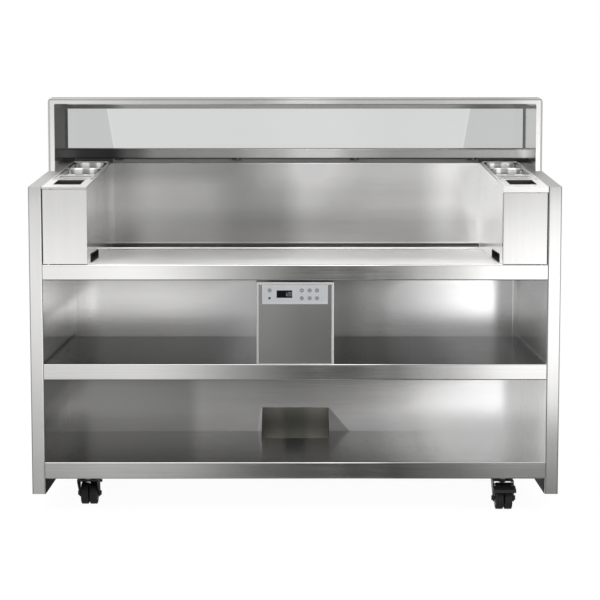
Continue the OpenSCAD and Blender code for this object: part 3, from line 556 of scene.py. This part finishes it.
def lathe(profile, centre, axis, steps=48):
    """Solid of revolution: profile of (radius, offset along the axis), flat caps at both ends."""
    turn = axis.to_track_quat("Z", "Y").to_matrix()
    rings = []
    for step in range(steps):
        angle = 2 * math.pi * step / steps
        rings.append([centre + turn @ Vector((radius * math.cos(angle), radius * math.sin(angle), along))
                      for radius, along in profile])
    verts = [point for ring in rings for point in ring]
    count, faces = len(profile), []
    for step in range(steps):
        a, b = step * count, (step + 1) % steps * count
        for i in range(count - 1):
            faces.append([a + i, a + i + 1, b + i + 1, b + i])
    faces.append([step * count for step in range(steps)])
    faces.append([step * count + count - 1 for step in range(steps)])
    return verts, faces


def prism(outline, start, along):
    """Solid from an outline of 3-D points at start, drawn out by a vector."""
    return loft([[start + point for point in outline], [start + point + along for point in outline]])


def placed(solid, matrix):
    verts, faces = solid
    return [matrix @ Vector(v) for v in verts], faces


def on_slope(side, s):
    """Matrix from the sloping tower top: X across, Y along the slope from s, Z square to it."""
    return (Matrix.Translation((side * TOWER_MID, FRONT_Y, TOWER_Z))
            @ Matrix.Rotation(SLOPE, 4, "X") @ Matrix.Translation((0, s, 0)))


# ---------- food pans, bins and chutes ----------

PAN_SECTIONS = (                    # half width, half length, corner radius, height, in mm
    (27, 61, 12, -62.5), (37, 71, 13, -62.4), (40.5, 74.5, 14, -60.8), (42.5, 76.5, 15, -57),
    (43.6, 77.6, 16, -45), (45.3, 79.3, 16, -14), (45.6, 79.6, 16, -12.5), (46.0, 80.0, 16, -4),
    (46.4, 80.4, 16, -0.6), (47.4, 81.4, 17, 0.9), (49.0, 83.0, 17, 1.5), (52.6, 86.6, 18, 1.5),
    (53.6, 87.6, 18, 1.0), (54.0, 88.0, 18, 0.2), (53.4, 87.4, 18, -0.4), (49.5, 83.5, 17, -0.3),
    (47.4, 81.4, 17, -1.2), (46.9, 80.9, 16, -5), (46.4, 80.4, 16, -14), (44.6, 78.6, 16, -46),
    (43.4, 77.4, 15, -58), (41, 75, 14, -62.4), (38, 72, 13, -63.6), (27, 61, 12, -63.8))
PAN_HALF_L = 0.088
PAN_STARTS = {"front": 0.312, "rear": 0.500}      # along the slope


def food_pan(name, side, start):
    """Drawn pan with a rolled rim, its front edge at start along the slope."""
    rings = [corner_ring(w * MM, l * MM, r * MM, h * MM, 8) for w, l, r, h in PAN_SECTIONS]
    verts, faces = placed(loft(rings), on_slope(side, start + PAN_HALF_L))
    pan = mesh_object(name + "_drawn", verts, faces, "pan", name)
    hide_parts(name)


for side, word in ((-1, "left"), (1, "right")):
    for row, start in PAN_STARTS.items():
        food_pan(word + "_" + row + "_pan", side, start)


def chute_collar(side, word):
    """Folded collar round the chute opening, and a rolled rim on the bin below."""
    sections = ((38.9, 57.4, 4, 0.3), (38.9, 57.4, 4, -13), (37.9, 56.4, 3, -13), (37.9, 56.4, 3, 0.0),
                (38.2, 56.8, 3, 0.4))
    rings = [corner_ring(w * MM, l * MM, r * MM, h * MM) for w, l, r, h in sections]
    verts, faces = placed(loft(rings, closed=True), on_slope(side, 0.1195))
    mesh_object(word + "_chute_collar", verts, faces, "collar")
    low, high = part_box(word + "_bin")
    centre = Matrix.Translation(((low.x + high.x) / 2, (low.y + high.y) / 2, high.z))
    half_w, half_l = (high.x - low.x) / 2, (high.y - low.y) / 2
    rings = []
    for step in range(10):
        angle = 2 * math.pi * step / 10
        out = (math.cos(angle) * 1.6 - 0.9) * MM
        rings.append(corner_ring(half_w + out, half_l + out, 6 * MM + out, math.sin(angle) * 1.6 * MM))
    mesh_object(word + "_bin_rim", *placed(loft(rings, closed=True), centre), "pan", word + "_bin")


def cable_tray(side, word):
    """Black moulded tray behind the cable cut-out, with a lip all round."""
    depth, half_l, half_h = 0.017, 0.0945, 0.012
    sections = ((half_l + 0.001, half_h + 0.0002, 0.004, -0.0012),
                (half_l - 0.002, half_h - 0.002, 0.003, -0.0012),
                (half_l - 0.003, half_h - 0.003, 0.003, depth - 0.002),
                (half_l - 0.012, half_h - 0.008, 0.002, depth - 0.002))
    inner = [corner_ring(*section) for section in sections]
    outer = [corner_ring(half_l - 0.012, half_h - 0.008, 0.002, depth),
             corner_ring(half_l - 0.001, half_h - 0.0012, 0.003, depth),
             corner_ring(half_l - 0.0008, half_h - 0.001, 0.003, 0.0)]
    turn = Matrix(((0, 0, side, side * BAY_X), (1, 0, 0, FRONT_Y + 0.18),
                   (0, 1, 0, DECK_Z + 0.0132), (0, 0, 0, 1)))
    tray = placed(loft(inner[::-1] + outer[::-1]), turn)
    mesh_object(word + "_cable_tray", *tray, "black")


def foot_shade_strip(side, word):
    """Ribbed black strip on the cheek's inner foot, below the bottom shelf; its black is painted shade for
    that shaded face.
    """
    outline = [Vector((-side * x * MM, 0, z * MM)) for x, z in
               ((0.1, 55), (1.4, 55), (1.9, 57), (1.4, 62), (2.0, 66), (1.4, 70), (2.0, 75), (1.4, 80),
                (2.0, 85), (1.4, 90), (1.9, 96), (1.4, 97.6), (0.1, 97.6))]
    mesh_object(word + "_foot_shade_strip", *prism(outline, Vector((side * INNER_X, FRONT_Y + 0.004, 0)),
                                             Vector((0, 0.70, 0))), "black")


for side, word in ((-1, "left"), (1, "right")):
    chute_collar(side, word)
    cable_tray(side, word)
    foot_shade_strip(side, word)

# ---------- casters ----------

# turned profiles: (radius, offset along the axle), in mm
TYRE = ((3, -11), (14, -11), (17, -10.4), (24.5, -10.4), (27, -11), (30, -10.8), (31.8, -9.6), (32.5, -8),
        (32.5, -5.2), (31.7, -4.8), (31.7, -3.6), (32.5, -3.2), (32.5, 3.2), (31.7, 3.6), (31.7, 4.8),
        (32.5, 5.2), (32.5, 8), (31.8, 9.6), (30, 10.8), (27, 11), (24.5, 10.4), (17, 10.4), (14, 11),
        (3, 11))
HUB = ((0, -11.5), (5, -11.5), (6, -11), (6, -9.6), (15, -9.6), (18, -10.9), (20, -10.9), (21, -10.3),
       (21, 10.3), (20, 10.9), (18, 10.9), (15, 9.6), (6, 9.6), (6, 11), (5, 11.5), (0, 11.5))
NUT = ((0.05, 0), (3.4, 0), (3.9, -0.6), (3.9, -2.6), (0.05, -2.6))


def caster(word):
    """Twin tyres and hubs on one axle, with a nut at each end of it."""
    low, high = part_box(word + "_wheels")
    axle = Vector(((low.x + high.x) / 2, (low.y + high.y) / 2, (low.z + high.z) / 2))
    tyres, hubs = [], []
    for side in (-1, 1):
        centre = axle + X * side * 12.5 * MM
        tyres.append(lathe([(r * MM, a * MM) for r, a in TYRE], centre, X, 56))
        hubs.append(lathe([(max(r, 0.05) * MM, a * MM) for r, a in HUB], centre, X, 40))
    wheels = joined(word + "_tyres", tyres, "tread", word + "_wheels")
    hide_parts(word + "_wheels")
    joined(word + "_hubs", hubs, "hub", word + "_wheels")
    low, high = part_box(word + "_fork")
    section = [(r * MM, a * MM) for r, a in NUT]
    nuts = [lathe(section, Vector((x, axle.y, axle.z)), X * way, 6)
            for x, way in ((low.x, -1), (high.x, 1))]
    joined(word + "_axle_nuts", nuts, "zinc", word + "_fork", 20)


for end in ("front", "rear"):
    for word in ("left", "right"):
        caster(end + "_" + word)

# ---------- rear panel, stiffeners ----------


def louvre(x, z, width=0.06, height=0.008, proud=0.0042):
    """Pressed louvre that bulges between its closed ends."""
    rings = []
    for step in range(13):
        across = -1 + 2 * step / 12
        scale = max(0.05, math.sqrt(1 - across ** 4))
        ring = [Vector((x + across * width / 2, REAR_Y - 0.0003, z)),
                Vector((x + across * width / 2, REAR_Y + proud * scale, z + 0.0006)),
                Vector((x + across * width / 2, REAR_Y + proud * scale * 0.8, z + height * 0.45)),
                Vector((x + across * width / 2, REAR_Y - 0.0003, z + height))]
        rings.append(ring)
    return loft(rings)


# turned profile: (radius, offset outward), in mm
SCREW = ((0.05, -0.2), (4.2, -0.2), (4.2, 0.4), (3.4, 1.4), (1.6, 1.8), (1.5, 1.0), (0.05, 1.0))
LOUVRE_X, LOUVRE_Z, LOUVRE_PITCH, LOUVRE_ROWS = (-0.16, -0.08, 0, 0.08, 0.16), 0.16, 0.018, 8
STRIP_X, STRIP_Z, STRIP_L = (-0.355, 0.355), 0.1, 0.893
SCREW_X = (-0.7, -0.375, -0.335, 0.335, 0.375, 0.7)
SCREW_Z = (0.12, 0.34, 0.56, 0.78, 0.975)


def rear_details():
    """Louvres, joint strips and screws of the guest-side panel."""
    rows = [louvre(x, LOUVRE_Z + row * LOUVRE_PITCH) for x in LOUVRE_X for row in range(LOUVRE_ROWS)]
    joined("rear_louvres", rows, "rear")
    strips = []
    for x in STRIP_X:
        outline = [Vector((dx * MM, dy * MM, 0)) for dx, dy in
                   ((-9, -0.2), (-9, 0.5), (-8.2, 1.2), (8.2, 1.2), (9, 0.5), (9, -0.2))]
        strips.append(prism(outline, Vector((x, REAR_Y, STRIP_Z)), Vector((0, 0, STRIP_L))))
    joined("rear_joint_strips", strips, "rear")
    heads = []
    for x in SCREW_X:
        for z in SCREW_Z:
            heads.append(lathe([(r * MM, a * MM) for r, a in SCREW], Vector((x, REAR_Y, z)), Y, 20))
    joined("rear_screws", heads, "zinc")


SHEET = 2 * MM                      # thickness of the folded sheet
STIFFENER_L = 0.6


def stiffener(x, top, reach):
    """Top-hat section under a shelf."""
    outline = [Vector((dx * MM, 0, dz * MM)) for dx, dz in
               ((-35, -0.1), (-35, -1.6), (-21.2, -1.6), (-19, -18), (19, -18), (21.2, -1.6), (35, -1.6),
                (35, -0.1), (19.8, -0.1), (17.6, -16.5), (-17.6, -16.5), (-19.8, -0.1))]
    return prism(outline, Vector((x, FRONT_Y + 0.03, top)), Vector((0, reach, 0)))


def stiffeners():
    for name, top, places in (("deck_stiffeners", DECK_Z, (-0.42, -0.2, 0.2, 0.42)),
                              ("mid_shelf_stiffeners", MID_Z, (-0.4, 0, 0.4))):
        joined(name, [stiffener(x, top - SHEET, STIFFENER_L) for x in places], "galvanised")


rear_details()
stiffeners()

# ---------- control panel print ----------

PANEL_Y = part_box("control_plate")[0].y


def flat(points, y, thick=0.25 * MM):
    """Thin raised print from (x, z) points, facing the operator."""
    outline = [Vector((x, 0, z)) for x, z in points]
    return prism(outline, Vector((0, y, 0)), Vector((0, -thick, 0)))


def bar(x, z, length, width, lean=0.0):
    """Bar with pointed ends, centred on (x, z), leaning by an angle."""
    along = Vector((math.cos(lean), math.sin(lean))) * length / 2
    out = Vector((-math.sin(lean), math.cos(lean))) * width / 2
    nose = along.normalized() * width / 2
    centre = Vector((x, z))
    points = [centre + along, centre + along - nose + out, centre - along + nose + out, centre - along,
              centre - along + nose - out, centre + along - nose - out]
    return [tuple(p) for p in points]


def ring_print(x, z, radius, width, y, start=0.0, end=360.0):
    outer, inner = [], []
    for step in range(25):
        angle = math.radians(start + (end - start) * step / 24)
        outer.append((x + radius * math.cos(angle), z + radius * math.sin(angle)))
        inner.append((x + (radius - width) * math.cos(angle), z + (radius - width) * math.sin(angle)))
    return flat(outer + inner[::-1], y)


SEGMENTS = {"a": (0, 1, 0), "b": (0.5, 0.5, 1), "c": (0.5, -0.5, 1), "d": (0, -1, 0), "e": (-0.5, -0.5, 1),
            "f": (-0.5, 0.5, 1), "g": (0, 0, 0)}
DIGITS = {"1": "bc", "2": "abged", "0": "abcdef"}


def digit(shape, x, z, size, y):
    """Seven-segment digit."""
    made = []
    for key in DIGITS[shape]:
        dx, dz, upright = SEGMENTS[key]
        lean = math.radians(82) if upright else 0.0
        slant = dz * size * 0.14
        stroke = bar(x + dx * size * 0.9 + slant, z + dz * size * 0.85, size * 0.72, size * 0.17, lean)
        made.append(flat(stroke, y))
    return made


DIGIT_SIZE = 6 * MM
SHOWN = (("1", -0.027), ("2", -0.019), ("0", -0.0115))      # made-up digits and their places


def control_print():
    """Display digits, plate outline and key symbols."""
    a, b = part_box("control_plate")
    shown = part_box("display_window")
    screen_y = shown[0].y
    middle = (shown[0].z + shown[1].z) / 2
    digits = []
    for shape, x in SHOWN:
        digits += digit(shape, x, middle, DIGIT_SIZE, screen_y)
    joined("display_digits", digits, "digit")
    rim = 1.2 * MM
    edges = []
    for x0, x1, z0, z1 in ((a.x, b.x, a.z, a.z + rim), (a.x, b.x, b.z - rim, b.z),
                           (a.x, a.x + rim, a.z + rim, b.z - rim), (b.x - rim, b.x, a.z + rim, b.z - rim)):
        edges.append(flat(((x0, z0), (x1, z0), (x1, z1), (x0, z1)), PANEL_Y, 0.4 * MM))
    joined("plate_outline", edges, "plate_edge")
    for key in ("power_key", "key_1", "key_2", "key_3", "key_4", "key_5", "key_6"):
        low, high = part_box(key)
        x, z, y = (low.x + high.x) / 2, (low.z + high.z) / 2, low.y
        joined(key + "_symbol", key_symbol(key, x, z, y), "print_pale", key)


def key_symbol(key, x, z, y):
    """Raised generic symbol on one key."""
    r, w = 3.4 * MM, 0.9 * MM
    if key == "power_key":
        return [ring_print(x, z, r, w, y, 120, 420), flat(bar(x, z + r * 0.7, r, w, math.radians(90)), y)]
    if key in ("key_1", "key_3"):
        way = 1 if key == "key_1" else -1
        return [flat(((x - r, z - way * r * 0.5), (x + r, z - way * r * 0.5), (x, z + way * r * 0.8)), y)]
    if key == "key_2":
        return [flat(bar(x, z, 2 * r, w), y), flat(bar(x, z, 2 * r, w, math.radians(90)), y, 0.3 * MM)]
    if key == "key_4":
        return [flat(bar(x, z, 2 * r, w), y)]
    if key == "key_5":
        return [ring_print(x, z, r, w, y)]
    return [flat(bar(x, z + d * r * 0.7, 2 * r, w * 0.8), y) for d in (-1, 0, 1)]


control_print()

# ---------- clip tabs, stop step and corner fillers ----------


CLIP_X = (-0.5665, -0.1915, 0.1835, 0.5585)
TAB_SHIFT, TAB_W = 0.006, 0.0035


def clip_tabs():
    """Steel spring tab beside each dark clip under the rail."""
    tabs = []
    low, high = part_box("filter_clips")
    outline = [Vector((0, dy * MM, dz * MM)) for dy, dz in
               ((0, 0), (-1.2, -0.2), (-2.4, -3), (-2.0, -6), (-1.4, -6), (-1.6, -3.2), (-0.8, -1.0),
                (0, -0.9))]
    for x in CLIP_X:
        start = Vector((x + TAB_SHIFT, low.y + 0.001, high.z + 0.001))
        tabs.append(prism(outline, start, Vector((TAB_W, 0, 0))))
    joined("rail_clip_tabs", tabs, "rail")


clip_tabs()


def step_bead():
    """Round bead along the stop step in a lighter steel that paints its bright line, and a dark strip above
    and behind it, painted shade for the gap at the wall's foot.
    """
    bead_y, bead_z, bead_r, sides = FRONT_Y + 0.590, 5.9, 2.6, 20
    rings = []
    for end in (-1, 1):
        x = end * (BAY_X - 1.5 * MM)
        angles = [2 * math.pi * i / sides for i in range(sides)]
        rings.append([Vector((x, bead_y + math.cos(a) * bead_r * MM,
                              DECK_Z + (bead_z + bead_r * math.sin(a)) * MM)) for a in angles])
    mesh_object("stop_step_bead", *loft(rings), "bead", smooth=60)
    outline = [Vector((0, dy * MM, dz * MM)) for dy, dz in
               ((0.1, 0), (-1.2, 0.4), (-2.2, 2.2), (-2.2, 6), (-1.2, 8.2), (0.1, 8.6))]
    wall_foot_shade = prism(outline, Vector((0.001 - BAY_X, FRONT_Y + 0.658, DECK_Z + 0.0082)),
                 Vector((2 * BAY_X - 0.002, 0, 0)))
    mesh_object("stop_step_shade_strip", *wall_foot_shade, "clip")


step_bead()


def corner_filler(side, word):
    """Dark closing plate between the cheek's top, the bridge leg and the glass rail, added to hide a gap; its
    near-black colour is painted shade for that corner.
    """
    outline = [Vector((x * MM, 0, z * MM)) for x, z in
               ((0, 976), (18.5, 976), (18.5, 993), (16, 994.8), (0, 994.8), (-4, 993.5), (-4, 978))]
    mirrored = [Vector((side * p.x, p.y, p.z)) for p in outline]
    mesh_object(word + "_corner_filler", *prism(mirrored, Vector((side * INNER_X, FRONT_Y + 0.706, 0)),
                                                Vector((0, 0.003, 0))), "clip")


for side, word in ((-1, "left"), (1, "right")):
    corner_filler(side, word)

# ---------- world, floor and camera ----------


def world_light():
    """Plain studio: white for the eye, soft for diffuse light, tall soft boxes in reflections."""
    world = bpy.data.worlds.new("studio")
    world.use_nodes = True
    SCENE.world = world
    g = Graph(world.node_tree)
    direction = g.node("ShaderNodeTexCoord").outputs["Generated"]
    right, back, up = g.split(direction)
    depth = g.math("MAXIMUM", g.math("ABSOLUTE", back), 0.02)
    aim = g.math("DIVIDE", right, depth)
    band, peak = 0.3, 4.0

    def by_height(*stops):
        """Level against the direction's height, which is 0 at the horizon; stops lie within the band."""
        share = g.call("ShaderNodeMapRange", {"Value": up, "From Min": -band, "From Max": band})
        levels = [((at + band) / (2 * band), value / peak) for at, value in stops]
        return g.math("MULTIPLY", g.ramp(share, levels), peak)

    left_box = g.math("MULTIPLY", g.step(aim, 0.01, -0.09), g.step(aim, -0.6, -0.3, 0.35))
    right_box = g.math("MULTIPLY", g.step(aim, 0.038, 0.125), g.step(aim, 0.6, 0.3, 0.3))
    left_level = by_height((-0.3, 0.35), (-0.2, 0.42), (-0.139, 0.86), (-0.087, 1.4), (-0.04, 0.85),
                           (0.1, 0.4))
    right_level = by_height((-0.3, 0.3), (-0.2, 0.4), (-0.172, 0.9), (-0.14, 2.4), (-0.1, 3.0),
                            (-0.065, 2.6), (-0.04, 1.3), (0.1, 0.4))
    centre = by_height((-0.3, 0.04), (-0.2, 0.04), (-0.14, 0.06), (-0.08, 0.08), (-0.03, 0.22),
                       (0.02, 0.4), (0.3, 0.45))
    front = g.mix(right_box, g.mix(left_box, centre, left_level), right_level)
    behind = g.mix(g.step(aim, -0.12, 0.03), 1.0, 0.12)
    behind = g.mix(g.step(g.math("ABSOLUTE", aim), 0.3, 0.8), behind, 0.5)
    around = g.mix(g.step(back, -0.03, 0.03), front, behind)
    lamp_aim = g.vector("DISTANCE", direction, (0.011, -1.0, -0.008), 1)
    small_lamp = g.step(lamp_aim, 0.045, 0.015, 0.0, 0.9)
    overhead = g.step(up, 0.1, 0.3)
    ring = g.math("MULTIPLY", g.step(up, 0.5, 0.88, 0.7, 3.2), g.step(up, 0.9, 0.98, 1.0, 0.28))
    total = g.mix(overhead, around, ring)
    total = g.math("ADD", total, small_lamp)
    total = g.mix(g.step(up, -0.25, -0.5), total, 0.3)
    path = g.node("ShaderNodeLightPath").outputs
    seen = g.mix(path["Is Glossy Ray"], 0.85, total)
    seen = g.mix(path["Is Camera Ray"], seen, 1.0)
    shade = g.call("ShaderNodeBackground", {"Color": rgb(1.0), "Strength": seen})
    g.call("ShaderNodeOutputWorld", {"Surface": shade})


def floor():
    """Pale floor that catches only a faint shadow and stays out of the steel's reflections."""
    mesh = bpy.data.meshes.new("studio_floor")
    bm = bmesh.new()
    bmesh.ops.create_circle(bm, cap_ends=True, radius=30, segments=96)
    bm.to_mesh(mesh)
    bm.free()
    disc = bpy.data.objects.new("studio_floor", mesh)
    SCENE.collection.objects.link(disc)
    material, g = new_material("floor_pale")
    place = g.node("ShaderNodeTexCoord").outputs["Object"]
    speckle = g.noise(place, 40, 2)
    matt = g.call("ShaderNodeBsdfDiffuse", {"Color": g.mix_color(speckle, rgb(0.88), rgb(0.92))})
    glow = g.call("ShaderNodeEmission", {"Color": rgb(1.0), "Strength": 0.96})
    unlit = g.call("ShaderNodeEmission", {"Strength": 0.0})
    part = g.call("ShaderNodeMixShader", {0: 0.06, 1: unlit, 2: matt})
    g.call("ShaderNodeOutputMaterial", {"Surface": g.call("ShaderNodeAddShader", {0: part, 1: glow})})
    disc.data.materials.append(material)
    disc.visible_glossy = False


def soft_light(name, place, aim, size, power):
    """Large soft area lamp, out of the steel's mirror reflections."""
    data = bpy.data.lights.new(name, "AREA")
    data.shape = "RECTANGLE"
    data.size, data.size_y = size
    data.energy = power
    lamp = bpy.data.objects.new(name, data)
    lamp.location = place
    lamp.rotation_mode = "QUATERNION"
    lamp.rotation_quaternion = (Vector(aim) - Vector(place)).to_track_quat("-Z", "Y")
    lamp.visible_glossy = False
    SCENE.collection.objects.link(lamp)


def camera():
    """Long lens, 1.1 m up and 5 m in front of the operator's side, tipped down by under 6 degrees.
    Its numbers come from a least-squares fit of the camera to the object's long edges."""
    data = bpy.data.cameras.new("camera")
    data.sensor_width = 36.0
    data.lens = 106.9
    data.clip_start, data.clip_end = 0.1, 200.0
    eye = bpy.data.objects.new("camera", data)
    eye.location = (0.0085, -5.364, 1.108)
    eye.rotation_euler = (math.radians(84.322), 0.0, math.radians(-0.062))
    SCENE.collection.objects.link(eye)
    SCENE.camera = eye


world_light()
floor()
soft_light("key_light", (-2.2, -3.0, 3.2), (0, 0, 0.6), (2.4, 2.4), 60)
soft_light("fill_light", (2.6, -2.4, 2.2), (0, 0, 0.6), (2.0, 2.0), 30)
camera()
SCENE.view_settings.view_transform = "Standard"
